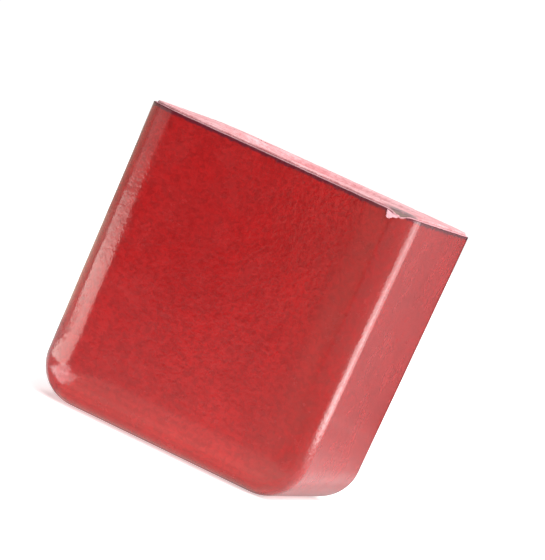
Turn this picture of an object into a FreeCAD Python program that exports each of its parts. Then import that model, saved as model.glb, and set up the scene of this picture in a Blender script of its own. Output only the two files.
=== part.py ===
import FreeCAD, Part
import os
import Sketcher

# Cue chalk cube: a pressed chalk block with a shallow dish for the cue tip, pasted
# into a one-piece wrap of label paper that is faced with glossy red film.
# Millimetres. Z is up, the origin is the middle of the base, and the front is -Y.

os.makedirs("parts", exist_ok=True)
doc = FreeCAD.newDocument("cue_chalk_cube")


# ---------------------------------------------------------------- driving sizes

SIZES = [
    ("top_width", 22.2, "width across the wrap at the top, along X"),
    ("top_depth", 22.2, "depth across the wrap at the top, along Y"),
    ("overall_height", 23.3, "from the base of the wrap to the top of the chalk"),
    ("side_draft", 0.7, "lean of each side in degrees, so the block leaves its die"),
    ("upright_round", 3.3, "radius of the four upright edges"),
    ("base_round", 3.2, "radius of the edge all round the base"),
    ("film_thickness", 0.08, "glossy red film on the outside of the wrap"),
    ("paper_thickness", 0.14, "label paper that carries the film"),
    ("glue_thickness", 0.06, "paste between the paper and the chalk"),
    ("chalk_proud", 0.18, "how far the bare chalk stands above the wrap's cut edge"),
    ("chalk_edge_round", 0.12, "small round where the chalk's top meets its sides"),
    ("dish_width", 16.4, "mouth of the dish that takes the cue tip"),
    ("dish_depth", 1.7, "deepest point of the dish below the top"),
    ("dish_lip_round", 0.5, "soft edge round the mouth of the dish"),
]

sizes = doc.addObject("Spreadsheet::Sheet", "Sizes")
for row, (alias, value, meaning) in enumerate(SIZES, start=1):
    sizes.set("A%d" % row, str(value))
    sizes.setAlias("A%d" % row, alias)
    sizes.set("B%d" % row, meaning)
doc.recompute()

# How deep the outside of each layer lies below the outside of the wrap.
FILM_INSET = "0 * Sizes.film_thickness"
PAPER_INSET = "Sizes.film_thickness"
GLUE_INSET = "(Sizes.film_thickness + Sizes.paper_thickness)"
CHALK_INSET = "(Sizes.film_thickness + Sizes.paper_thickness + Sizes.glue_thickness)"

CHALK_TOP = "Sizes.overall_height"
WRAP_TOP = "(Sizes.overall_height - Sizes.chalk_proud)"

SAME_LEVEL = 1e-4


# ---------------------------------------------------------------- shared steps

def origin_plane(body, role):
    """The origin plane of a body, by its role."""
    for feature in body.Origin.OriginFeatures:
        if feature.Role == role:
            return feature
    raise RuntimeError("no origin plane " + role)


def edge_names(shape, wanted):
    """The names of the edges of a shape that the test picks."""
    return ["Edge%d" % number for number, edge in enumerate(shape.Edges, start=1) if wanted(edge)]


def face_names(shape, wanted):
    """The names of the faces of a shape that the test picks."""
    return ["Face%d" % number for number, face in enumerate(shape.Faces, start=1) if wanted(face)]


def is_side(face):
    """True for a face that stands upright."""
    return abs(face.normalAt(0, 0).z) < 0.5


def is_underside(face):
    """True for a face that looks down."""
    return face.normalAt(0, 0).z < -0.5


def is_upright(edge):
    """True for an edge that climbs the sides."""
    return edge.BoundBox.ZLength > edge.BoundBox.XLength + edge.BoundBox.YLength


def lies_at(level):
    """A test for edges that lie flat at a height."""
    def wanted(edge):
        box = edge.BoundBox
        return abs(box.ZMin - level) < SAME_LEVEL and abs(box.ZMax - level) < SAME_LEVEL
    return wanted


def levels(shape):
    """The lowest and highest corners of a shape."""
    heights = [corner.Z for corner in shape.Vertexes]
    return min(heights), max(heights)


def round_edges(body, name, base, wanted, radius):
    """Rounds the picked edges of a feature, with a radius tied to the sheet."""
    fillet = body.newObject("PartDesign::Fillet", name)
    fillet.Base = (base, edge_names(base.Shape, wanted))
    fillet.setExpression("Radius", radius)
    body.Tip = fillet
    doc.recompute()
    return fillet


def base_outline(body, name, inset):
    """The rectangle that a layer stands on, before its edges are rounded."""
    sketch = body.newObject("Sketcher::SketchObject", name)
    sketch.AttachmentSupport = [(origin_plane(body, "XY_Plane"), "")]
    sketch.MapMode = "FlatFace"
    sketch.setExpression("AttachmentOffset.Base.z", inset)

    corners = [(-1, -1), (1, -1), (1, 1), (-1, 1)]
    points = [FreeCAD.Vector(10 * x, 10 * y, 0) for x, y in corners]
    for side in range(4):
        sketch.addGeometry(Part.LineSegment(points[side], points[(side + 1) % 4]), False)
    start, end, origin = 1, 2, -1
    for side in range(4):
        sketch.addConstraint(Sketcher.Constraint("Coincident", side, end, (side + 1) % 4, start))
    for side, direction in enumerate(["Horizontal", "Vertical", "Horizontal", "Vertical"]):
        sketch.addConstraint(Sketcher.Constraint(direction, side))
    sketch.addConstraint(Sketcher.Constraint("Symmetric", 0, start, 2, start, origin, 1))

    lean = "2 * (Sizes.overall_height - %s) * tan(Sizes.side_draft * 1 deg)" % inset
    for side, axis, size in [(0, "DistanceX", "top_width"), (1, "DistanceY", "top_depth")]:
        index = sketch.addConstraint(Sketcher.Constraint(axis, side, start, side, end, 20.0))
        sketch.setExpression("Constraints[%d]" % index, "Sizes.%s - 2 * %s - %s" % (size, inset, lean))
    return sketch


def pressed_form(name, inset, top):
    """The block's form at a depth below the outside of the wrap, as a body."""
    body = doc.addObject("PartDesign::Body", name)
    sketch = base_outline(body, name + "_outline", inset)

    pad = body.newObject("PartDesign::Pad", name + "_pad")
    pad.Profile = sketch
    pad.setExpression("Length", "%s - %s" % (top, inset))
    body.Tip = pad
    doc.recompute()

    draft = body.newObject("PartDesign::Draft", name + "_draft")
    draft.Base = (pad, face_names(pad.Shape, is_side))
    draft.NeutralPlane = (pad, face_names(pad.Shape, is_underside))
    draft.setExpression("Angle", "Sizes.side_draft * 1 deg")
    draft.Reversed = True
    body.Tip = draft
    doc.recompute()
    if draft.Shape.Volume <= pad.Shape.Volume:
        raise RuntimeError("the sides of %s lean inward" % name)

    uprights = round_edges(body, name + "_uprights", draft, is_upright,
                           "Sizes.upright_round - %s" % inset)
    base_level, _ = levels(uprights.Shape)
    round_edges(body, name + "_base", uprights, lies_at(base_level),
                "Sizes.base_round - %s" % inset)
    return body


def layer(name, outside, inside):
    """One layer of the wrap: the space between two forms."""
    cut = doc.addObject("Part::Cut", name)
    cut.Base = outside
    cut.Tool = inside
    doc.recompute()
    return cut


# ---------------------------------------------------------------- chalk block

def make_chalk_block():
    """The pressed chalk, with the dish in its top."""
    body = pressed_form("chalk_block", CHALK_INSET, CHALK_TOP)
    _, top_level = levels(body.Shape)
    rounded = round_edges(body, "chalk_top_round", body.Tip, lies_at(top_level),
                          "Sizes.chalk_edge_round")

    ball_radius = "(Sizes.dish_width ^ 2 / 4 + Sizes.dish_depth ^ 2) / (2 * Sizes.dish_depth)"
    ball = body.newObject("PartDesign::SubtractiveSphere", "dish")
    ball.AttachmentSupport = [(origin_plane(body, "XY_Plane"), "")]
    ball.MapMode = "FlatFace"
    ball.setExpression("Radius", ball_radius)
    ball.setExpression("AttachmentOffset.Base.z",
                       "Sizes.overall_height - Sizes.dish_depth + " + ball_radius)
    doc.recompute()
    if ball.Shape.Volume >= rounded.Shape.Volume:
        raise RuntimeError("the dish cuts nothing")

    def is_mouth(edge):
        return edge.isClosed() and lies_at(top_level)(edge)

    round_edges(body, "dish_lip", ball, is_mouth, "Sizes.dish_lip_round")
    return body


# ---------------------------------------------------------------- assembly

chalk_block = make_chalk_block()
chalk_form = pressed_form("chalk_form", CHALK_INSET, CHALK_TOP)
film_form = pressed_form("film_form", FILM_INSET, WRAP_TOP)
paper_form = pressed_form("paper_form", PAPER_INSET, WRAP_TOP)
glue_form = pressed_form("glue_form", GLUE_INSET, WRAP_TOP)

red_film = layer("red_film", film_form, paper_form)
paper_backing = layer("paper_backing", paper_form, glue_form)
glue_film = layer("glue_film", glue_form, chalk_form)

NODES = {
    "chalk_block": chalk_block,
    "glue_film": glue_film,
    "paper_backing": paper_backing,
    "red_film": red_film,
}

for item in doc.Objects:
    if "Invalid" in item.State or "Error" in item.State:
        raise RuntimeError("%s did not build: %s" % (item.Name, item.State))

for node, item in NODES.items():
    item.Label = node
    shape = item.Shape
    if shape.isNull() or not shape.isValid() or len(shape.Solids) != 1:
        raise RuntimeError("%s is not one good solid" % node)
    shape.exportStep("parts/%s.step" % node)
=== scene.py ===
"""A cube of cue chalk in a glossy red film-faced wrap, shown in a plain studio.

The pressed block with its dish, the wrap's film and paper, the dried paste and a few
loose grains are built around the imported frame. Run it as a script: it registers its
operators, calls each once and leaves the scene ready to render.
"""

import math
import random
from typing import NamedTuple

import bpy
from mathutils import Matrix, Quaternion, Vector, noise


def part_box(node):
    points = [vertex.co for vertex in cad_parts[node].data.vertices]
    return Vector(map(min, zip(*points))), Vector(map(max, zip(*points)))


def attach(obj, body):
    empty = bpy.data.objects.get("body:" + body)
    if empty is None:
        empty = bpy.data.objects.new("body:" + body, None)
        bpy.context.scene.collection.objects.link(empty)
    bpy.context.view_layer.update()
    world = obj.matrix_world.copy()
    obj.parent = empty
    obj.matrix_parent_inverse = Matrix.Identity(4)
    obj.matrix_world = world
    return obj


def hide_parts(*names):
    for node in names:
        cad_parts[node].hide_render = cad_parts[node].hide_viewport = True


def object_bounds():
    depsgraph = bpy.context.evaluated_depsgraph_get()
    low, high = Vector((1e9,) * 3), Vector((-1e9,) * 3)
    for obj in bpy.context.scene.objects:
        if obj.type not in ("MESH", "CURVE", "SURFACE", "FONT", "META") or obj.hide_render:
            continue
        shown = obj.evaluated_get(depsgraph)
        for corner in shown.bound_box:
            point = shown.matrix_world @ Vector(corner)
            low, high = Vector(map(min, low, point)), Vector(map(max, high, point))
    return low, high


bl_info = {
    "name": "Cue Chalk Cube",
    "version": (1, 0, 0),
    "blender": (4, 5, 0),
    "location": "3D View > Sidebar > Chalk",
    "description": "Builds a wrapped cube of cue chalk and a plain studio round it",
    "category": "Object",
}

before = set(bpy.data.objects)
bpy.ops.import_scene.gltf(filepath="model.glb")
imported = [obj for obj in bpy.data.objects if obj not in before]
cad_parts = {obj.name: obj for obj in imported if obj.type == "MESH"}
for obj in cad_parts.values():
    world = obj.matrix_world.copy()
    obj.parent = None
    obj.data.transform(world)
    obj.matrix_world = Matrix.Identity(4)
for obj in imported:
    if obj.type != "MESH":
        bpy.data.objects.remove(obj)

MM = 0.001
BODY = "root"


def as_lists(box):
    """The two corners of a box as plain lists of numbers."""
    return [[round(float(value), 6) for value in corner] for corner in box]


CAD_BOX = as_lists(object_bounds())
WRAP_LOW, WRAP_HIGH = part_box("red_film")
CHALK_LOW, CHALK_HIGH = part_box("chalk_block")
PAPER_LOW, PAPER_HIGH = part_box("paper_backing")


# ---------------------------------------------------------------- settings

class WrapSettings(bpy.types.PropertyGroup):
    """The film and paper that cover the block."""

    side_draft: bpy.props.FloatProperty(
        name="Side draft", description="How far each side leans in towards the base",
        default=math.radians(0.7), subtype="ANGLE")
    upright_round: bpy.props.FloatProperty(
        name="Upright edge radius", description="Radius of the four upright edges",
        default=3.3 * MM, unit="LENGTH")
    base_round: bpy.props.FloatProperty(
        name="Base edge radius", description="Radius of the edge round the base",
        default=3.2 * MM, unit="LENGTH")
    ripple: bpy.props.FloatProperty(
        name="Ripple", description="Height of the slow unevenness left by pasting",
        default=0.016 * MM, unit="LENGTH")
    edge_ripple: bpy.props.FloatProperty(
        name="Edge ripple", description="Unevenness where the film turns an upright edge",
        default=0.007 * MM, unit="LENGTH")
    crease_depth: bpy.props.FloatProperty(
        name="Crease depth", description="Depth of the pleats at the lower corners",
        default=0.05 * MM, unit="LENGTH")
    rim_wander: bpy.props.FloatProperty(
        name="Rim wander", description="How far the cut edge wanders up and down",
        default=0.045 * MM, unit="LENGTH")
    nick_depth: bpy.props.FloatProperty(
        name="Nick depth", description="Depth of the torn place in the cut edge",
        default=0.36 * MM, unit="LENGTH")
    film_colour: bpy.props.FloatVectorProperty(
        name="Film colour", description="Colour of the glossy film",
        default=(0.43, 0.0095, 0.0105), size=3, subtype="COLOR")
    paper_colour: bpy.props.FloatVectorProperty(
        name="Paper colour", description="Colour of the label paper, tinted by the film's ink",
        default=(0.74, 0.38, 0.42), size=3, subtype="COLOR")
    # darker than the paste's own colour: painted shade for the torn place, where the paste shows
    paste_and_shade_colour: bpy.props.FloatVectorProperty(
        name="Paste colour", description="Colour of the dried paste",
        default=(0.26, 0.18, 0.16), size=3, subtype="COLOR")


class ChalkSettings(bpy.types.PropertyGroup):
    """The pressed block and its dish."""

    dish_width: bpy.props.FloatProperty(
        name="Dish width", description="Width of the dish that takes the cue tip",
        default=16.4 * MM, unit="LENGTH")
    dish_depth: bpy.props.FloatProperty(
        name="Dish depth", description="Depth of the dish below the top",
        default=1.7 * MM, unit="LENGTH")
    grain_height: bpy.props.FloatProperty(
        name="Grain height", description="Roughness of the pressed surface",
        default=0.03 * MM, unit="LENGTH")
    grain_count: bpy.props.IntProperty(
        name="Loose grains", description="Number of loose grains on the top",
        default=150, min=0)
    chalk_colour: bpy.props.FloatVectorProperty(
        name="Chalk colour", description="Colour of the pressed chalk",
        default=(0.56, 0.17, 0.185), size=3, subtype="COLOR")
    dust_colour: bpy.props.FloatVectorProperty(
        name="Dust colour", description="Colour of the loose dust on the chalk",
        default=(0.80, 0.50, 0.52), size=3, subtype="COLOR")


class StageSettings(bpy.types.PropertyGroup):
    """The floor, the lights and the camera."""

    floor_colour: bpy.props.FloatVectorProperty(
        name="Floor colour", description="Colour of the floor and backdrop",
        default=(0.93, 0.93, 0.93), size=3, subtype="COLOR")
    camera_azimuth: bpy.props.FloatProperty(
        name="Camera azimuth", description="Angle of the camera round to the right",
        default=math.radians(15.2), subtype="ANGLE")
    camera_elevation: bpy.props.FloatProperty(
        name="Camera elevation", description="Angle of the camera above the block's middle",
        default=math.radians(3.7), subtype="ANGLE")
    camera_roll: bpy.props.FloatProperty(
        name="Camera roll", description="Tilt of the camera about its own axis",
        default=math.radians(24.109), subtype="ANGLE")
    camera_distance: bpy.props.FloatProperty(
        name="Camera distance", description="Distance from the block's middle",
        default=283.6 * MM, unit="LENGTH")
    camera_yaw: bpy.props.FloatProperty(
        name="Camera aim across", description="How far the camera aims beside the middle",
        default=math.radians(0.10), subtype="ANGLE")
    camera_pitch: bpy.props.FloatProperty(
        name="Camera aim up", description="How far the camera aims above or below the middle",
        default=math.radians(0.528), subtype="ANGLE")
    camera_lens: bpy.props.FloatProperty(
        name="Camera lens", description="Focal length in millimetres on a 36 mm sensor",
        default=242.0)


def settings(name):
    """One of the scene's setting groups."""
    return getattr(bpy.context.scene, name)


# ---------------------------------------------------------------- node helpers

class Nodes:
    """A short way to write one material's nodes."""

    def __init__(self, name):
        self.material = bpy.data.materials.new(name)
        self.material.use_nodes = True
        self.tree = self.material.node_tree
        self.shader = self.tree.nodes["Principled BSDF"]
        self.position = self.add("ShaderNodeTexCoord").outputs["Object"]

    def add(self, kind, inputs=(), **values):
        """Adds a node; inputs maps a socket to a number, a colour or another socket."""
        node = self.tree.nodes.new(kind)
        for name, value in values.items():
            setattr(node, name, value)
        for name, value in dict(inputs).items():
            if isinstance(value, bpy.types.NodeSocket):
                self.tree.links.new(value, node.inputs[name])
            else:
                node.inputs[name].default_value = value
        return node

    def link(self, output, name):
        """Joins a socket to the shader."""
        self.tree.links.new(output, self.shader.inputs[name])

    def noise(self, scale, detail=3.0, roughness=0.5, vector=None, distortion=0.0):
        """Noise about one half, as a socket."""
        node = self.add("ShaderNodeTexNoise", {
            "Vector": vector or self.position, "Scale": scale, "Detail": detail,
            "Roughness": roughness, "Distortion": distortion})
        return node.outputs["Fac"]

    def stretched(self, scale):
        """The position, scaled by a different amount along each axis."""
        node = self.add("ShaderNodeMapping", {"Vector": self.position, "Scale": scale})
        return node.outputs["Vector"]

    def ramp(self, value, low, high, start=0.0, end=1.0):
        """Maps a value from one range to another, held at both ends."""
        node = self.add("ShaderNodeMapRange", {
            "Value": value, "From Min": low, "From Max": high, "To Min": start, "To Max": end})
        return node.outputs["Result"]

    def maths(self, operation, first, second=0.0):
        """One sum of two values."""
        node = self.add("ShaderNodeMath", {0: first, 1: second}, operation=operation)
        return node.outputs[0]

    def times(self, first, second):
        """The product of two values."""
        return self.maths("MULTIPLY", first, second)

    def mix(self, amount, first, second):
        """A colour between two others."""
        node = self.add("ShaderNodeMix", {0: amount, 6: first, 7: second}, data_type="RGBA")
        return node.outputs[2]

    def bump(self, height, distance, strength=1.0, before=None):
        """A bump from a height, on top of an earlier one."""
        inputs = {"Height": height, "Distance": distance, "Strength": strength}
        if before is not None:
            inputs["Normal"] = before
        return self.add("ShaderNodeBump", inputs).outputs["Normal"]

    def axis(self, letter):
        """One coordinate of the position."""
        parts = self.add("ShaderNodeSeparateXYZ", {"Vector": self.position})
        return parts.outputs[letter]

    def near(self, place, radius):
        """One near a place, falling to nothing at a radius."""
        gap = self.add("ShaderNodeVectorMath", {0: self.position, 1: place}, operation="DISTANCE")
        return self.ramp(gap.outputs["Value"], 0.0, radius, 1.0, 0.0)


def rgba(colour):
    """A colour with full opacity."""
    return (colour[0], colour[1], colour[2], 1.0)


def shaded(colour, factor):
    """A colour made darker or lighter."""
    return tuple(min(1.0, part * factor) for part in colour[:3]) + (1.0,)


# ---------------------------------------------------------------- the block's form

CORNER_STEPS = 24
SIDE_STEPS = 56


class Form:
    """The pressed form at a depth below the outside of the wrap."""

    def __init__(self, inset):
        wrap = settings("chalk_wrap")
        self.draft = math.tan(wrap.side_draft)
        self.upright = wrap.upright_round - inset
        self.base_round = wrap.base_round - inset
        self.base = WRAP_LOW[2] + inset
        self.full_height = CHALK_HIGH[2]
        lean_at_rim = (self.full_height - WRAP_HIGH[2]) * self.draft
        self.half_width = (WRAP_HIGH[0] - WRAP_LOW[0]) / 2 + lean_at_rim - inset
        self.half_depth = (WRAP_HIGH[1] - WRAP_LOW[1]) / 2 + lean_at_rim - inset

    def section(self, level, fill=0.0):
        """The half sizes and corner radius of the level, drawn in by a further amount."""
        lean = (self.full_height - level) * self.draft
        half_width = self.half_width - lean - fill
        half_depth = self.half_depth - lean - fill
        return half_width, half_depth, max(self.upright - fill, 0.02 * MM)

    def fill_at(self, angle):
        """How far the base round has drawn in, and its level, at an angle from the base."""
        radius = self.base_round
        return radius * (1 - math.sin(angle)), self.base + radius * (1 - math.cos(angle))


def ring(half_width, half_depth, radius):
    """Points round a rounded rectangle, each with the way it faces and its distance round."""
    points = []
    travelled = 0.0
    runs = [
        (Vector((0, -1)), half_depth, half_width), (Vector((1, 0)), half_width, half_depth),
        (Vector((0, 1)), half_depth, half_width), (Vector((-1, 0)), half_width, half_depth),
    ]
    for outward, offset, reach in runs:
        along = Vector((-outward.y, outward.x))
        straight = reach - radius
        for step in range(SIDE_STEPS):
            share = step / SIDE_STEPS
            place = outward * offset + along * straight * (2 * share - 1)
            points.append((place, outward.copy(), travelled + 2 * straight * share))
        travelled += 2 * straight
        centre = outward * (offset - radius) + along * straight
        for step in range(CORNER_STEPS):
            angle = math.pi / 2 * step / CORNER_STEPS
            facing = outward * math.cos(angle) + along * math.sin(angle)
            points.append((centre + facing * radius, facing, travelled + radius * angle))
        travelled += radius * math.pi / 2
    return points


def bridge(rows):
    """Quads between neighbouring rings of equal length, given as first indices."""
    faces = []
    count = ring_length()
    for low, high in zip(rows, rows[1:]):
        for step in range(count):
            after = (step + 1) % count
            faces.append((low + step, low + after, high + after, high + step))
    return faces


def ring_length():
    """The number of points in a ring."""
    return 4 * (SIDE_STEPS + CORNER_STEPS)


def mesh_object(name, points, faces, material, smooth=True):
    """A mesh piece that rides on the part's body."""
    mesh = bpy.data.meshes.new(name)
    mesh.from_pydata([tuple(point) for point in points], [], faces)
    mesh.validate()
    mesh.polygons.foreach_set("use_smooth", [smooth] * len(mesh.polygons))
    mesh.materials.append(material)
    mesh.update()
    piece = bpy.data.objects.new(name, mesh)
    bpy.context.scene.collection.objects.link(piece)
    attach(piece, BODY)
    return piece


def fractal(place, size, octaves=3):
    """Noise from about -1 to 1 with features of a size."""
    return noise.fractal(Vector(place) / size, 1.0, 2.1, octaves)


def bell(distance, width):
    """A smooth bump of height one."""
    return math.exp(-(distance / width) ** 2)


# ---------------------------------------------------------------- the nick in the rim

NICK_TURN = math.radians(43)
NICK_RAGGED_SIZE = 0.22 * MM


def nick_centre():
    """The distance round from the middle of the front to the torn place."""
    half_width, _, radius = Form(0.0).section(WRAP_HIGH[2])
    return half_width - radius + radius * NICK_TURN


def nick_place():
    """Where the torn place lies at the rim."""
    half_width, half_depth, radius = Form(0.0).section(WRAP_HIGH[2])
    return Vector((half_width - radius + radius * math.sin(NICK_TURN),
                   -(half_depth - radius + radius * math.cos(NICK_TURN)), WRAP_HIGH[2]))


def nick_shape(round_distance, half_width, shift=0.0):
    """The share of the full depth that is torn away at a distance round the rim."""
    offset = (round_distance - nick_centre() - shift) / half_width
    if abs(offset) > 1.25:
        return 0.0
    torn = 0.55 + 0.45 * math.cos(math.pi * min(1.0, abs(offset)))
    lopsided = 1.0 - 0.35 * offset
    ragged = 1.0 + 0.45 * fractal((round_distance, 0.0, 3.0 * MM), NICK_RAGGED_SIZE)
    edge = max(0.0, 1.0 - max(0.0, abs(offset) - 0.85) / 0.4)
    return max(0.0, torn * lopsided * ragged * edge)


# ---------------------------------------------------------------- wrap shells

RIM_ROWS = 22
SIDE_ROWS = 96
ROUND_ROWS = 20
FLOOR_ROWS = 10
RIM_BAND = 1.3 * MM
RIPPLE_SIZE = 7.0 * MM
EDGE_RIPPLE_SIZE = 1.6 * MM
RIM_WANDER_SIZE = 0.9 * MM
PLEAT_SEED = 40
PLEAT_COUNT = 5
DENT_SIZE = 0.75 * MM


def shell_rows(form, rim):
    """Rows from the middle of the base to the rim: a level, how far drawn in, and a shrink."""
    rows = []
    flat_fill, flat_level = form.fill_at(0.0)
    for step in range(1, FLOOR_ROWS):
        rows.append((flat_level, flat_fill, step / FLOOR_ROWS))
    for step in range(ROUND_ROWS + 1):
        fill, level = form.fill_at(math.pi / 2 * step / ROUND_ROWS)
        rows.append((level, fill, 1.0))
    start = form.base + form.base_round
    for step in range(1, SIDE_ROWS + 1):
        rows.append((start + (rim - RIM_BAND - start) * step / SIDE_ROWS, 0.0, 1.0))
    for step in range(1, RIM_ROWS + 1):
        rows.append((rim - RIM_BAND * (1 - step / RIM_ROWS), 0.0, 1.0))
    return rows


def corner_turns(facing):
    """How near a facing is to the middle of an upright edge, from 0 on a side to 1."""
    return min(1.0, 2.0 * abs(facing.x * facing.y))


def pleats(place, facing, form):
    """The depth of the small pleats where the wrap gathers at a lower corner."""
    turn = math.atan2(facing.y, facing.x)
    in_corner = corner_turns(facing)
    if in_corner < 0.05 or place.z > form.base + 2.3 * form.base_round:
        return 0.0
    which = int(round((turn - math.pi / 4) / (math.pi / 2))) % 4
    rising = (place.z - form.base) / form.base_round
    within = math.degrees(turn % (math.pi / 2))
    depth = 0.0
    draw = random.Random(PLEAT_SEED + which)
    for _ in range(PLEAT_COUNT):
        angle = draw.uniform(16, 74)
        width = draw.uniform(2.2, 4.5)
        reach = draw.uniform(0.75, 1.35)
        lean = draw.uniform(-9, 9)
        strength = draw.uniform(0.35, 1.0)
        drift = angle + lean * rising
        depth += strength * bell(within - drift, width) * bell(rising - 0.55 * reach, 0.42 * reach)
    dents = 0.35 * max(0.0, fractal(place, DENT_SIZE)) * bell(rising - 0.7, 0.7)
    return in_corner * (depth + dents)


def wrap_shell(name, inset, thickness, rim, nick, material, calm=0.0):
    """One layer of the wrap, with its pasted unevenness, pleats and cut edge."""
    wrap = settings("chalk_wrap")
    form = Form(inset)
    rows = shell_rows(form, rim)
    nick_width, nick_depth, nick_shift = nick
    points, starts = [], []
    for level, fill, shrink in rows:
        half_width, half_depth, radius = form.section(level, fill)
        starts.append(len(points))
        near_rim = max(0.0, 1.0 - (rim - level) / RIM_BAND)
        for place, facing, distance in ring(half_width, half_depth, radius):
            flat = place * shrink
            point = Vector((flat.x, flat.y, level))
            if shrink == 1.0:
                in_corner = corner_turns(facing)
                push = -wrap.ripple * fractal(point, RIPPLE_SIZE, 2)
                push -= wrap.edge_ripple * in_corner * fractal(
                    (point.x, point.y, point.z * 1.7), EDGE_RIPPLE_SIZE)
                push -= wrap.crease_depth * pleats(point, facing, form)
                push = min(push, 0.0) + 0.35 * max(push, 0.0)
                share = min(1.0, (level - form.base) / (0.4 * form.base_round))
                push *= share * (1.0 - calm)
                point.x += facing.x * push
                point.y += facing.y * push
            wander = fractal((distance, inset, 0.0), RIM_WANDER_SIZE, 4)
            drop = wrap.rim_wander * (0.5 + 0.5 * wander)
            drop += nick_depth * nick_shape(distance - half_width + radius, nick_width, nick_shift)
            point.z -= near_rim ** 2 * drop
            points.append(point)
    faces = bridge(starts)
    middle = len(points)
    points.append(Vector((0.0, 0.0, rows[0][0])))
    count = ring_length()
    faces += [(middle, (step + 1) % count, step) for step in range(count)]
    piece = mesh_object(name, points, faces, material)
    solid = piece.modifiers.new("thickness", "SOLIDIFY")
    solid.thickness = thickness
    solid.offset = -1.0
    solid.use_even_offset = True
    return piece


# ---------------------------------------------------------------- materials

# painted shade: the dark brown laid along the right upright edges
EDGE_SHADE_COLOUR = (0.20, 0.022, 0.018, 1.0)
# painted shade: the dark maroon line along the film's cut edge
RIM_SHADE_COLOUR = (0.10, 0.010, 0.022, 1.0)
PAPER_DIRT_COLOUR = (0.34, 0.20, 0.20, 1.0)
BRUISE_COLOUR = (0.13, 0.10, 0.105, 1.0)


def printed_red(made):
    """The film's red, a little cloudy, with a fine mottle and pale specks."""
    red = settings("chalk_wrap").film_colour
    clouds = made.noise(190.0, 4.0, 0.55)
    colour = made.mix(made.ramp(clouds, 0.35, 0.68), shaded(red, 0.93), shaded(red, 1.08))
    mottle = made.noise(2700.0, 2.0, 0.5, distortion=0.8)
    colour = made.mix(made.ramp(mottle, 0.38, 0.66, 0.0, 0.75), colour, shaded(red, 0.68))
    specks = made.ramp(made.noise(5200.0, 2.0, 0.6), 0.70, 0.80)
    return made.mix(made.times(specks, 0.35), colour, shaded(red, 1.9))


def right_edge_painted_shade(made):
    """Painted shade: a darker brown band along the upright edges on the right, beside and over the
    highlight.
    """
    deep = made.maths("ABSOLUTE", made.axis("Y"))
    across = made.maths("ABSOLUTE", made.axis("X"))
    beside = made.maths("SUBTRACT", deep, across)
    begins = made.ramp(beside, -3.4 * MM, -1.7 * MM)
    ends = made.ramp(beside, 0.6 * MM, 5.0 * MM, 1.0, 0.0)
    on_right = made.ramp(made.axis("X"), 2.0 * MM, 6.0 * MM)
    strokes = made.ramp(made.noise(850.0, 4.0, 0.7, distortion=1.4), 0.32, 0.62, 0.45, 1.1)
    band = made.times(made.times(begins, on_right), ends)
    return made.times(made.times(band, strokes), 0.62)


def rim_painted_shade(made):
    """Painted shade: a dark band along the cut edge of the film, with a ragged lower side."""
    rim = WRAP_HIGH[2]
    wander = made.times(made.noise(1500.0, 4.0, 0.65), 0.46 * MM)
    level = made.maths("ADD", made.axis("Z"), wander)
    return made.times(made.ramp(level, rim - 0.13 * MM, rim + 0.01 * MM), 0.9)


def film_relief(made):
    """Fine unevenness of the film: peel, fibres from the paper, and level scratches."""
    peel = made.bump(made.noise(900.0, 2.0, 0.5), 0.010 * MM, 0.5)
    fine = made.noise(2900.0, 2.0, 0.5, distortion=0.6)
    peel = made.bump(fine, 0.015 * MM, 1.0, peel)
    fibres = made.noise(1.0, 3.0, 0.6, made.stretched((2600.0, 2600.0, 700.0)))
    peel = made.bump(fibres, 0.004 * MM, 0.5, peel)
    streaks = made.noise(1.0, 1.0, 0.4, made.stretched((300.0, 300.0, 5200.0)))
    return made.bump(made.ramp(streaks, 0.72, 0.78), 0.003 * MM, 0.35, peel)


def film_material():
    """Glossy red film over paper, with fine unevenness, rubbed roughness, painted shade along the
    right upright edges and a painted dark line of shade at the cut edge.
    """
    made = Nodes("red film")
    colour = printed_red(made)
    # painted shade along the right upright edges
    colour = made.mix(right_edge_painted_shade(made), colour, EDGE_SHADE_COLOUR)
    # painted shade along the film's cut edge
    colour = made.mix(rim_painted_shade(made), colour, RIM_SHADE_COLOUR)
    made.link(colour, "Base Color")
    rubbed = made.ramp(made.noise(420.0, 5.0, 0.62), 0.40, 0.75, 0.20, 0.34)
    made.link(rubbed, "Roughness")
    made.shader.inputs["Specular IOR Level"].default_value = 0.28
    made.shader.inputs["Coat Weight"].default_value = 0.55
    made.shader.inputs["Coat Roughness"].default_value = 0.07
    made.shader.inputs["Coat IOR"].default_value = 1.48
    relief = film_relief(made)
    made.link(relief, "Normal")
    made.link(relief, "Coat Normal")
    return made.material


def paper_material():
    """Label paper stained by the ink of the film, seen at its cut edge and where it is torn."""
    made = Nodes("label paper")
    tone = settings("chalk_wrap").paper_colour
    fibres = made.noise(1.0, 4.0, 0.65, made.stretched((4200.0, 4200.0, 9000.0)))
    colour = made.mix(made.ramp(fibres, 0.35, 0.7), shaded(tone, 0.86), shaded(tone, 1.10))
    dirt = made.ramp(made.noise(900.0, 3.0, 0.6), 0.56, 0.74)
    colour = made.mix(made.times(dirt, 0.5), colour, PAPER_DIRT_COLOUR)
    made.link(colour, "Base Color")
    made.shader.inputs["Roughness"].default_value = 0.82
    made.link(made.bump(fibres, 0.02 * MM, 0.8), "Normal")
    return made.material


def paste_material():
    """Dried paste, dull and brownish, its colour darkened as painted shade where it shows in the
    torn place.
    """
    wrap = settings("chalk_wrap")
    made = Nodes("dried paste")
    lumps = made.noise(1400.0, 4.0, 0.6)
    colour = made.mix(made.ramp(lumps, 0.3, 0.7), shaded(wrap.paste_and_shade_colour, 0.8),
                      shaded(wrap.paste_and_shade_colour, 1.15))
    made.link(colour, "Base Color")
    made.link(made.ramp(lumps, 0.3, 0.7, 0.45, 0.7), "Roughness")
    made.link(made.bump(lumps, 0.02 * MM, 0.7), "Normal")
    return made.material


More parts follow.
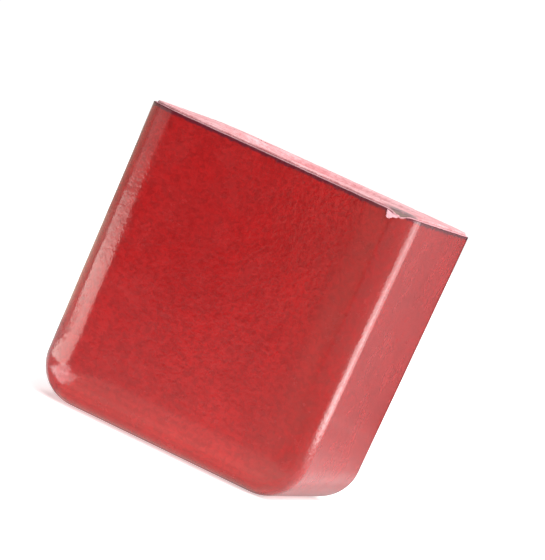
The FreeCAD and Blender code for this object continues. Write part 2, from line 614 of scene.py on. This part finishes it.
def chalk_material():
    """Pressed chalk: open grain, pale dust in the hollows and a bruised corner."""
    chalk = settings("chalk_block_sizes")
    made = Nodes("pressed chalk")
    base, dust = chalk.chalk_colour, chalk.dust_colour
    clouds = made.noise(260.0, 5.0, 0.6)
    grain = made.noise(3600.0, 4.0, 0.7)
    pits = made.add("ShaderNodeTexVoronoi", {"Vector": made.position, "Scale": 2400.0})
    colour = made.mix(made.ramp(grain, 0.3, 0.7), shaded(base, 0.82), shaded(base, 1.16))
    dusty = made.times(made.ramp(clouds, 0.38, 0.62), made.ramp(grain, 0.30, 0.62))
    colour = made.mix(made.times(dusty, 0.75), colour, rgba(dust))

    rim = CHALK_HIGH[2]
    high = made.ramp(made.axis("Z"), rim - 0.16 * MM, rim - 0.01 * MM)
    patchy = made.ramp(made.noise(520.0, 6.0, 0.7), 0.36, 0.62)
    colour = made.mix(made.times(made.times(high, patchy), 0.5), colour, rgba(dust))
    strokes = made.noise(1.0, 3.0, 0.6, made.stretched((420.0, 2600.0, 600.0)))
    colour = made.mix(made.ramp(strokes, 0.56, 0.72, 0.0, 0.5), colour, shaded(base, 0.72))
    bruise = made.near(nick_place() + Vector((0.3 * MM, 0.3 * MM, 0.1 * MM)), 2.6 * MM)
    bruise = made.times(made.ramp(bruise, 0.12, 0.6), made.ramp(grain, 0.25, 0.5, 0.3, 1.0))
    colour = made.mix(made.times(bruise, 0.85), colour, BRUISE_COLOUR)
    made.link(colour, "Base Color")
    made.shader.inputs["Roughness"].default_value = 0.95
    made.shader.inputs["Specular IOR Level"].default_value = 0.25
    made.shader.inputs["Sheen Weight"].default_value = 0.25
    made.shader.inputs["Sheen Roughness"].default_value = 0.6
    relief = made.bump(grain, 0.05 * MM, 0.9)
    relief = made.bump(made.ramp(pits.outputs["Distance"], 0.0, 0.35), 0.03 * MM, 0.6, relief)
    made.link(relief, "Normal")
    return made.material


# ---------------------------------------------------------------- chalk block

DISH_ROWS = 46
TOP_ROWS = 26
EDGE_ROWS = 6
BLOCK_ROWS = 24
CHALK_EDGE_ROUND = 0.12 * MM
LIP_BLEND = 0.7 * MM
CHIP_DEPTH = 0.45 * MM
CHIP_WIDTH = 0.85 * MM
CHIP_REACH = 0.75 * MM
EDGE_CRUMBLE = 0.20 * MM
SIDE_CRUMBLE = 0.16 * MM
SIDE_CRUMBLE_HEIGHT = 0.7 * MM


def chalk_top(reach, chalk):
    """The depth of the chalk's top at a distance from its middle."""
    mouth = chalk.dish_width / 2
    ball = (mouth ** 2 + chalk.dish_depth ** 2) / (2 * chalk.dish_depth)
    if reach >= mouth + LIP_BLEND:
        return 0.0
    bowl = chalk.dish_depth - ball + math.sqrt(ball ** 2 - min(reach, mouth) ** 2)
    past_lip = min(1.0, max(0.0, reach - mouth + LIP_BLEND) / (2 * LIP_BLEND))
    blend = 0.5 * (1 + math.cos(math.pi * past_lip))
    slope = mouth / math.sqrt(ball ** 2 - mouth ** 2)
    beyond = bowl - slope * max(0.0, reach - mouth)
    return max(0.0, beyond) * blend if reach > mouth - LIP_BLEND else bowl


def chipped(place):
    """How far the chalk's top edge has crumbled at a place, from 0 to 1."""
    gap = (Vector((place.x, place.y, CHALK_HIGH[2])) - nick_place()).length
    chip = bell(gap, CHIP_WIDTH) * (0.8 + 0.5 * fractal(place, 0.25 * MM))
    crumbs = max(0.0, fractal((place.x, place.y, 7.0 * MM), 0.8 * MM, 4) - 0.28)
    return max(0.0, chip) + 0.35 * crumbs


def chalk_mesh(material):
    """The block: dish, flat top, crumbling edge, sides and base."""
    chalk = settings("chalk_block_sizes")
    form = Form(CHALK_LOW[2] - WRAP_LOW[2])
    top = CHALK_HIGH[2]
    outline = ring(*form.section(top, CHALK_EDGE_ROUND))
    mouth = chalk.dish_width / 2
    points, starts = [], []

    def add_row(make_point):
        starts.append(len(points))
        for place, facing, _ in outline:
            points.append(make_point(place, facing))

    def surface(flat):
        level = top - chalk_top(flat.length, chalk)
        place = Vector((flat.x, flat.y, level))
        coarse = fractal(place, 1.1 * MM, 4)
        fine = fractal(place, 0.28 * MM, 2)
        sink = chalk.grain_height * (0.6 * coarse + 0.4 * fine)
        to_edge = min(form.half_width - abs(flat.x), form.half_depth - abs(flat.y))
        sink -= CHIP_DEPTH * chipped(place) * bell(max(0.0, to_edge), CHIP_REACH)
        place.z += min(sink, 0.0)
        return place

    for step in range(1, DISH_ROWS + 1):
        share = step / DISH_ROWS
        add_row(lambda place, facing: surface(place.normalized() * mouth * share))
    for step in range(1, TOP_ROWS + 1):
        share = step / TOP_ROWS
        add_row(lambda place, facing: surface(
            place.normalized() * mouth * (1 - share) + place * share))
    for step in range(1, EDGE_ROWS + 1):
        angle = math.pi / 2 * step / EDGE_ROWS
        drop = CHALK_EDGE_ROUND * (1 - math.cos(angle))
        out = CHALK_EDGE_ROUND * math.sin(angle)

        def edge_point(place, facing):
            flat = place + facing * out
            solid = Vector((flat.x, flat.y, top - drop))
            sunk = chipped(solid)
            solid.z -= CHIP_DEPTH * sunk
            solid.x -= facing.x * EDGE_CRUMBLE * min(1.0, sunk)
            solid.y -= facing.y * EDGE_CRUMBLE * min(1.0, sunk)
            return solid
        add_row(edge_point)

    side_top = top - CHALK_EDGE_ROUND
    for step in range(1, BLOCK_ROWS + 1):
        level = side_top + (form.base + form.base_round - side_top) * (step / BLOCK_ROWS) ** 1.6
        outline = ring(*form.section(level))

        def side_point(place, facing):
            sunk = chipped(Vector((place.x, place.y, top))) * bell(
                top - level, SIDE_CRUMBLE_HEIGHT)
            flat = place - facing * SIDE_CRUMBLE * min(1.0, sunk)
            return Vector((flat.x, flat.y, min(level, top - CHIP_DEPTH * sunk)))
        add_row(side_point)
    for step in range(1, ROUND_ROWS + 1):
        fill, level = form.fill_at(math.pi / 2 * (1 - step / ROUND_ROWS))
        outline = ring(*form.section(level, fill))
        add_row(lambda place, facing: Vector((place.x, place.y, level)))

    faces = [tuple(reversed(face)) for face in bridge(starts)]
    count = ring_length()
    middle = len(points)
    points.append(surface(Vector((0.0, 0.0))))
    faces += [(middle, step, (step + 1) % count) for step in range(count)]
    faces.append(tuple(reversed([starts[-1] + step for step in range(count)])))
    return mesh_object("chalk_body", points, faces, material)


GRAIN_SEED = 7
GRAIN_SIZES = (0.035, 0.12)
GRAIN_SHARE_IN_DISH = 0.6
GRAIN_CORNERS = [(1, 0, 0), (-1, 0, 0), (0, 1, 0), (0, -1, 0), (0, 0, 1), (0, 0, -1)]
GRAIN_SIDES = [(0, 2, 4), (2, 1, 4), (1, 3, 4), (3, 0, 4),
               (2, 0, 5), (1, 2, 5), (3, 1, 5), (0, 3, 5)]


def grain_mesh(material):
    """Loose grains of chalk that lie on the top and gather in the dish."""
    chalk = settings("chalk_block_sizes")
    draw = random.Random(GRAIN_SEED)
    reach = (CHALK_HIGH[0] - CHALK_LOW[0]) / 2 - 1.0 * MM
    points, faces = [], []
    for _ in range(chalk.grain_count):
        if draw.random() < GRAIN_SHARE_IN_DISH:
            distance = chalk.dish_width / 2 * math.sqrt(draw.random()) * 0.98
            angle = draw.uniform(0, 2 * math.pi)
            flat = Vector((distance * math.cos(angle), distance * math.sin(angle)))
        else:
            flat = Vector((draw.uniform(-reach, reach), draw.uniform(-reach, reach)))
        size = draw.uniform(*GRAIN_SIZES) * MM
        level = CHALK_HIGH[2] - chalk_top(flat.length, chalk) + 0.15 * size
        first = len(points)
        for corner in GRAIN_CORNERS:
            jitter = Vector([draw.uniform(0.6, 1.2) for _ in range(3)])
            offset = Vector(corner) * size
            points.append(Vector((flat.x + offset.x * jitter.x, flat.y + offset.y * jitter.y,
                                  level + offset.z * jitter.z * 0.7)))
        faces += [tuple(first + index for index in side) for side in GRAIN_SIDES]
    piece = mesh_object("loose_grains", points, faces, material, smooth=False)
    rounding = piece.modifiers.new("rounding", "SUBSURF")
    rounding.levels = 1
    rounding.render_levels = 1
    return piece


FLAP_LENGTH = 1.05 * MM
FLAP_HEIGHT = 0.52 * MM
FLAP_STEPS = 14
FLAP_START = 1.16 * MM
FLAP_THICKNESS = 0.10 * MM
FLAP_CURL = 0.15 * MM


def flap_mesh(material):
    """The little torn flap of film and paper that turns outwards at the nick."""
    form = Form(0.0)
    half_width, half_depth, radius = form.section(WRAP_HIGH[2])
    start = nick_centre() - (half_width - radius) - FLAP_START
    points, faces = [], []
    for row in range(FLAP_STEPS + 1):
        up = row / FLAP_STEPS
        for column in range(FLAP_STEPS + 1):
            across = column / FLAP_STEPS
            torn = 0.5 + 0.5 * fractal((up * 2 * MM, 0.0, 5.0 * MM), 0.5 * MM)
            width = FLAP_LENGTH * (0.20 + 0.80 * up ** 1.3) * (0.80 + 0.35 * torn)
            travel = start + width * across + 0.10 * MM * (1 - up)
            turn = travel / radius
            curl = FLAP_CURL * (1 - up) ** 1.2 + 0.03 * MM * math.sin(math.pi * up)
            wobble = 0.03 * MM * fractal((travel, up * MM, 0.0), 0.22 * MM)
            out = radius + 0.012 * MM + curl + wobble
            fold = WRAP_HIGH[2] - 0.10 * MM - 0.22 * MM * math.sin(1.5 * across)
            hang = FLAP_HEIGHT * (1 - up) * (1 - 0.35 * across)
            ragged = 0.05 * MM * (1 - up) * fractal((across * MM, 2.0 * MM, 0.0), 0.2 * MM)
            level = fold - hang + ragged
            points.append(Vector((half_width - radius + out * math.sin(turn),
                                  -(half_depth - radius + out * math.cos(turn)), level)))
    stride = FLAP_STEPS + 1
    for row in range(FLAP_STEPS):
        for column in range(FLAP_STEPS):
            first = row * stride + column
            faces.append((first, first + 1, first + stride + 1, first + stride))
    piece = mesh_object("torn_flap", points, faces, material)
    solid = piece.modifiers.new("thickness", "SOLIDIFY")
    solid.thickness = FLAP_THICKNESS
    solid.offset = -1.0
    return piece


# ---------------------------------------------------------------- operators

FILM_RIM_DROP = 0.03 * MM
FILM_NICK_WIDTH = 1.02 * MM
PAPER_GAP = 0.01 * MM
PAPER_THICKNESS = 0.12 * MM
PAPER_RIM_RISE = 0.02 * MM
PAPER_NICK_WIDTH = 0.95 * MM
PAPER_NICK_SHARE = 0.80
PAPER_NICK_SHIFT = 0.06 * MM


class CHALK_OT_make_film(bpy.types.Operator):
    """Build the glossy red film that faces the wrap"""

    bl_idname = "chalk.make_film"
    bl_label = "Red film"

    def execute(self, context):
        thickness = PAPER_LOW[2] - WRAP_LOW[2]
        nick = (FILM_NICK_WIDTH, settings("chalk_wrap").nick_depth, 0.0)
        rim = WRAP_HIGH[2] - FILM_RIM_DROP
        film = wrap_shell("film_skin", 0.0, thickness, rim, nick, film_material())
        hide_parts("red_film")
        return {"FINISHED"}


class CHALK_OT_make_paper(bpy.types.Operator):
    """Build the label paper that carries the film"""

    bl_idname = "chalk.make_paper"
    bl_label = "Label paper"

    def execute(self, context):
        inset = PAPER_LOW[2] - WRAP_LOW[2]
        depth = PAPER_NICK_SHARE * settings("chalk_wrap").nick_depth
        nick = (PAPER_NICK_WIDTH, depth, PAPER_NICK_SHIFT)
        rim = PAPER_HIGH[2] + PAPER_RIM_RISE
        paper = wrap_shell("paper_liner", inset + PAPER_GAP, PAPER_THICKNESS, rim, nick,
                           paper_material(), calm=0.5)
        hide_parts("paper_backing")
        return {"FINISHED"}


class CHALK_OT_make_flap(bpy.types.Operator):
    """Build the torn flap at the nick in the rim"""

    bl_idname = "chalk.make_flap"
    bl_label = "Torn flap"

    def execute(self, context):
        flap = flap_mesh(bpy.data.materials["label paper"])
        return {"FINISHED"}


class CHALK_OT_finish_paste(bpy.types.Operator):
    """Give the dried paste its material"""

    bl_idname = "chalk.finish_paste"
    bl_label = "Dried paste"

    def execute(self, context):
        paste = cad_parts["glue_film"]
        material = paste_material()
        if not paste.material_slots:
            paste.data.materials.append(material)
        for slot in paste.material_slots:
            slot.material = material
        return {"FINISHED"}


class CHALK_OT_make_block(bpy.types.Operator):
    """Build the pressed chalk block with its dish"""

    bl_idname = "chalk.make_block"
    bl_label = "Chalk block"

    def execute(self, context):
        block = chalk_mesh(chalk_material())
        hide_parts("chalk_block")
        return {"FINISHED"}


class CHALK_OT_make_grains(bpy.types.Operator):
    """Scatter loose grains of chalk on the top"""

    bl_idname = "chalk.make_grains"
    bl_label = "Loose grains"

    def execute(self, context):
        grains = grain_mesh(bpy.data.materials["pressed chalk"])
        return {"FINISHED"}


# ---------------------------------------------------------------- stage

WHITE = (1.0, 1.0, 1.0)
SOFT_WARM = (1.0, 0.95, 0.88)
WARM = (1.0, 0.90, 0.74)

FLOOR_RADIUS = 0.6
FLOOR_EDGES = 96
FLOOR_LIFT = 0.55
POOL_CENTRE = (-0.01, -0.05, 0.0)
POOL_REACH = (0.03, 0.13)
POOL_LEVELS = (0.32, 0.02)
GLOW_LEVEL = 0.8
GLOW_REACH = (0.012, 0.055)
GLOW_LOST_IN_GLOSS = 0.6
ROOM_LEVEL = 0.03
BACKDROP_LEVEL = 1.05
SENSOR_WIDTH = 36.0
CLIP_RANGE = (0.01, 20.0)

LIGHT_TARGET = (0.0, 0.0, 0.011)
FLOOR_CARD_GAP = 0.2 * MM
LEFT_EDGE = (-7.8, -7.8)
RIGHT_EDGE = (9.5, -9.5)
FRONT_FOOT = (-9.0, -8.6)
FRONT_FACE = (0.0, -11.0)


class Card(NamedTuple):
    """A card of light that shows only in reflections. Its sizes are in millimetres."""

    name: str
    edge: tuple  # the place on the block that it faces or runs away from
    azimuth: float  # in degrees: 0 is in front of the block and 90 to its right
    away: float  # its distance from that place
    width: float
    length: float  # the height of an upright card
    brightness: float
    lift: float = 0.0  # how far an upright card stands above the floor
    tint: tuple = WHITE
    lies: bool = False  # whether it lies on the floor


CARDS = [
    Card("left_low_card", LEFT_EDGE, -64, 60, 58, 7, 6.0, tint=SOFT_WARM),
    Card("left_middle_card", LEFT_EDGE, -68, 60, 52, 5, 3.4, lift=7, tint=SOFT_WARM),
    Card("left_high_card", LEFT_EDGE, -70, 60, 48, 21, 0.9, lift=12, tint=SOFT_WARM),
    Card("left_back_low_card", LEFT_EDGE, -126, 60, 72, 10, 0.85, tint=WARM),
    Card("left_back_high_card", LEFT_EDGE, -126, 60, 72, 22, 0.45, lift=10, tint=WARM),
    Card("left_floor_card", LEFT_EDGE, -36, 9.0, 26, 48, 5.2, tint=SOFT_WARM, lies=True),
    Card("left_near_card", LEFT_EDGE, -18, 2.8, 5.0, 8.0, 4.0, lies=True),
    Card("left_corner_card", LEFT_EDGE, -4, 3.0, 3.6, 3.6, 4.0, lies=True),
    Card("left_back_floor_card", LEFT_EDGE, -98, 3.5, 50, 50, 0.30, lies=True),
    Card("front_near_card", FRONT_FOOT, 0, 2.6, 24, 6.0, 0.50, tint=WARM, lies=True),
    Card("front_second_card", FRONT_FOOT, 0, 2.0, 24, 9.5, 0.34, tint=WARM, lies=True),
    Card("front_third_card", FRONT_FOOT, 0, 1.2, 24, 15, 0.30, tint=WARM, lies=True),
    Card("front_fourth_card", FRONT_FOOT, 0, 0.0, 24, 26, 0.26, tint=WARM, lies=True),
    Card("front_card", FRONT_FACE, 18, 110, 130, 50, 0.64, tint=WARM),
    Card("front_right_card", FRONT_FACE, 84, 100, 116, 50, 0.55),
    Card("front_floor_card", (-16.0, -11.0), 0, 20, 80, 110, 0.28, tint=WARM, lies=True),
    Card("right_strip", RIGHT_EDGE, 131, 55, 20, 14, 4.2),
    Card("right_high_strip", RIGHT_EDGE, 131, 55, 20, 20, 2.9, lift=14),
    Card("right_glow", RIGHT_EDGE, 146, 60, 22, 36, 1.5),
    Card("right_low_card", RIGHT_EDGE, 132, 50, 34, 6, 0.9),
    Card("right_back_card", RIGHT_EDGE, 158, 80, 34, 45, 0.29),
    Card("right_back_floor_card", (11.2, -9.5), -181, 0.0, 45, 84, 0.22, lies=True),
]


def floor_material(colour):
    """Plain pale paper: white to the camera, dim in reflections, and glowing near the block."""
    made = Nodes("studio paper")
    tree = made.tree
    output = tree.nodes["Material Output"]
    tone = made.noise(9.0, 3.0, 0.5)
    paper = made.mix(made.ramp(tone, 0.3, 0.7), shaded(colour, 0.985), rgba(colour))
    gap = made.add("ShaderNodeVectorMath", {0: made.position}, operation="LENGTH")
    front = made.add("ShaderNodeVectorMath", {0: made.position, 1: POOL_CENTRE},
                     operation="DISTANCE")
    pool = made.ramp(front.outputs["Value"], *POOL_REACH, *POOL_LEVELS)
    path = made.add("ShaderNodeLightPath").outputs
    seen = made.times(path["Is Camera Ray"], FLOOR_LIFT)
    under = made.ramp(gap.outputs["Value"], *GLOW_REACH, GLOW_LEVEL, 0.0)
    hidden = made.maths("SUBTRACT", 1.0, path["Is Camera Ray"])
    hidden = made.maths("SUBTRACT", hidden, made.times(path["Is Glossy Ray"], GLOW_LOST_IN_GLOSS))
    seen = made.maths("ADD", seen, made.times(under, hidden))
    dim = made.mix(path["Is Glossy Ray"], rgba(WHITE), pool)
    tinted = made.add("ShaderNodeMix", {0: 1.0, 6: paper, 7: dim}, data_type="RGBA",
                      blend_type="MULTIPLY")
    made.link(tinted.outputs[2], "Base Color")
    made.shader.inputs["Roughness"].default_value = 0.9
    made.shader.inputs["Specular IOR Level"].default_value = 0.0
    glow = made.add("ShaderNodeEmission", {"Strength": seen})
    both = made.add("ShaderNodeAddShader", {0: made.shader.outputs[0], 1: glow.outputs[0]})
    tree.links.new(both.outputs[0], output.inputs["Surface"])
    return made.material


def floor_sheet(colour):
    """A round sheet of pale paper that the block stands on."""
    points = [(0.0, 0.0, 0.0)]
    for step in range(FLOOR_EDGES):
        angle = 2 * math.pi * step / FLOOR_EDGES
        points.append((FLOOR_RADIUS * math.cos(angle), FLOOR_RADIUS * math.sin(angle), 0.0))
    faces = [(0, step + 1, (step + 1) % FLOOR_EDGES + 1) for step in range(FLOOR_EDGES)]
    mesh = bpy.data.meshes.new("studio_floor")
    mesh.from_pydata(points, [], faces)
    mesh.materials.append(floor_material(colour))
    floor = bpy.data.objects.new("studio_floor", mesh)
    floor.location.z = CAD_BOX[0][2]
    bpy.context.scene.collection.objects.link(floor)


def aim(item, target):
    """Points a light at a place."""
    away = item.location - Vector(target)
    item.rotation_mode = "QUATERNION"
    item.rotation_quaternion = away.to_track_quat("Z", "Y")


def round_place(azimuth, elevation, distance):
    """A place round the block: azimuth 0 is in front of it and 90 to its right."""
    a, e = math.radians(azimuth), math.radians(elevation)
    return distance * Vector((math.sin(a) * math.cos(e), -math.cos(a) * math.cos(e), math.sin(e)))


def softbox(name, azimuth, elevation, distance, size, power, tint=WHITE):
    """A rectangular light that looks at the block."""
    data = bpy.data.lights.new(name, "AREA")
    data.shape = "RECTANGLE"
    data.size, data.size_y = size
    data.energy = power
    data.color = tint
    light = bpy.data.objects.new(name, data)
    light.location = Vector(LIGHT_TARGET) + round_place(azimuth, elevation, distance)
    bpy.context.scene.collection.objects.link(light)
    aim(light, LIGHT_TARGET)
    light.visible_camera = False
    return light


def hang_card(card):
    """Sets up a card: upright and facing its edge, or flat on the floor beside it."""
    width, length = card.width * MM, card.length * MM
    away = card.away * MM
    power = card.brightness * math.pi * width * length
    light = softbox(card.name, card.azimuth, 0, away, (width, length), power, card.tint)
    light.visible_diffuse = False
    edge = Vector((card.edge[0] * MM, card.edge[1] * MM, CAD_BOX[0][2]))
    if card.lies:
        aside = math.copysign(90, card.azimuth) if card.azimuth else 90
        light.location = (edge + Vector((0, 0, FLOOR_CARD_GAP))
                          + round_place(card.azimuth, 0, away + length / 2)
                          + round_place(card.azimuth + aside, 0, width / 2))
        light.rotation_mode = "XYZ"
        light.rotation_euler = (math.pi, 0.0, math.radians(card.azimuth))
    else:
        target = edge + Vector((0, 0, card.lift * MM + length / 2))
        light.location = target + round_place(card.azimuth, 0, away)
        aim(light, target)


def make_camera(stage):
    """The camera, placed round the block and rolled."""
    data = bpy.data.cameras.new("camera")
    data.sensor_width = SENSOR_WIDTH
    data.lens = stage.camera_lens
    data.clip_start, data.clip_end = CLIP_RANGE
    camera = bpy.data.objects.new("camera", data)
    middle = Vector((0, 0, CHALK_HIGH[2] / 2))
    a, e = stage.camera_azimuth, stage.camera_elevation
    back = Vector((math.sin(a) * math.cos(e), -math.cos(a) * math.cos(e), math.sin(e)))
    camera.location = middle + back * stage.camera_distance
    bpy.context.scene.collection.objects.link(camera)
    turn = back.to_track_quat("Z", "Y")
    aside = Quaternion((0, 1, 0), -stage.camera_yaw) @ Quaternion((1, 0, 0), stage.camera_pitch)
    camera.rotation_mode = "QUATERNION"
    camera.rotation_quaternion = turn @ aside @ Quaternion((0, 0, 1), stage.camera_roll)
    bpy.context.scene.camera = camera


class CHALK_OT_make_stage(bpy.types.Operator):
    """Lay the floor, hang the lights and place the camera"""

    bl_idname = "chalk.make_stage"
    bl_label = "Studio"

    def surroundings(self, context):
        """A white backdrop all round, which reflects as a dim room."""
        world = bpy.data.worlds.new("studio")
        world.use_nodes = True
        nodes, links = world.node_tree.nodes, world.node_tree.links
        path = nodes.new("ShaderNodeLightPath")
        level = nodes.new("ShaderNodeMapRange")
        level.inputs["To Min"].default_value = ROOM_LEVEL
        level.inputs["To Max"].default_value = BACKDROP_LEVEL
        links.new(path.outputs["Is Camera Ray"], level.inputs["Value"])
        links.new(level.outputs["Result"], nodes["Background"].inputs["Strength"])
        nodes["Background"].inputs["Color"].default_value = rgba(WHITE)
        context.scene.world = world

    def execute(self, context):
        stage = settings("chalk_stage")
        floor_sheet(stage.floor_colour)
        softbox("overhead_softbox", azimuth=42, elevation=72, distance=1.0, size=(1.4, 1.4),
                power=17.5)
        fill = softbox("right_fill", azimuth=100, elevation=40, distance=0.6, size=(0.4, 0.4),
                       power=3.7)
        fill.visible_glossy = False
        for card in CARDS:
            hang_card(card)
        self.surroundings(context)
        context.scene.view_settings.view_transform = "Standard"
        make_camera(stage)
        return {"FINISHED"}


# ---------------------------------------------------------------- panel and run

class CHALK_PT_panel(bpy.types.Panel):
    """Lists the steps that build the chalk"""

    bl_idname = "CHALK_PT_panel"
    bl_label = "Cue Chalk Cube"
    bl_space_type = "VIEW_3D"
    bl_region_type = "UI"
    bl_category = "Chalk"

    def draw(self, context):
        for operator in OPERATORS:
            self.layout.operator(operator.bl_idname)
        for group, kind in GROUPS.items():
            box = self.layout.box()
            for name in kind.__annotations__:
                box.prop(getattr(context.scene, group), name)


GROUPS = {
    "chalk_wrap": WrapSettings,
    "chalk_block_sizes": ChalkSettings,
    "chalk_stage": StageSettings,
}

OPERATORS = [
    CHALK_OT_make_film,
    CHALK_OT_make_paper,
    CHALK_OT_make_flap,
    CHALK_OT_finish_paste,
    CHALK_OT_make_block,
    CHALK_OT_make_grains,
    CHALK_OT_make_stage,
]


def register():
    """Adds the settings, the operators and the panel."""
    for kind in [*GROUPS.values(), *OPERATORS, CHALK_PT_panel]:
        bpy.utils.register_class(kind)
    for group, kind in GROUPS.items():
        setattr(bpy.types.Scene, group, bpy.props.PointerProperty(type=kind))


def unregister():
    """Takes them away again."""
    for group in GROUPS:
        delattr(bpy.types.Scene, group)
    for kind in [CHALK_PT_panel, *reversed(OPERATORS), *reversed(list(GROUPS.values()))]:
        bpy.utils.unregister_class(kind)


def main():
    """Builds the chalk and its studio."""
    register()
    bpy.ops.chalk.make_film()
    bpy.ops.chalk.make_paper()
    bpy.ops.chalk.make_flap()
    bpy.ops.chalk.finish_paste()
    bpy.ops.chalk.make_block()
    bpy.ops.chalk.make_grains()
    bpy.ops.chalk.make_stage()


if __name__ == "__main__":
    main()
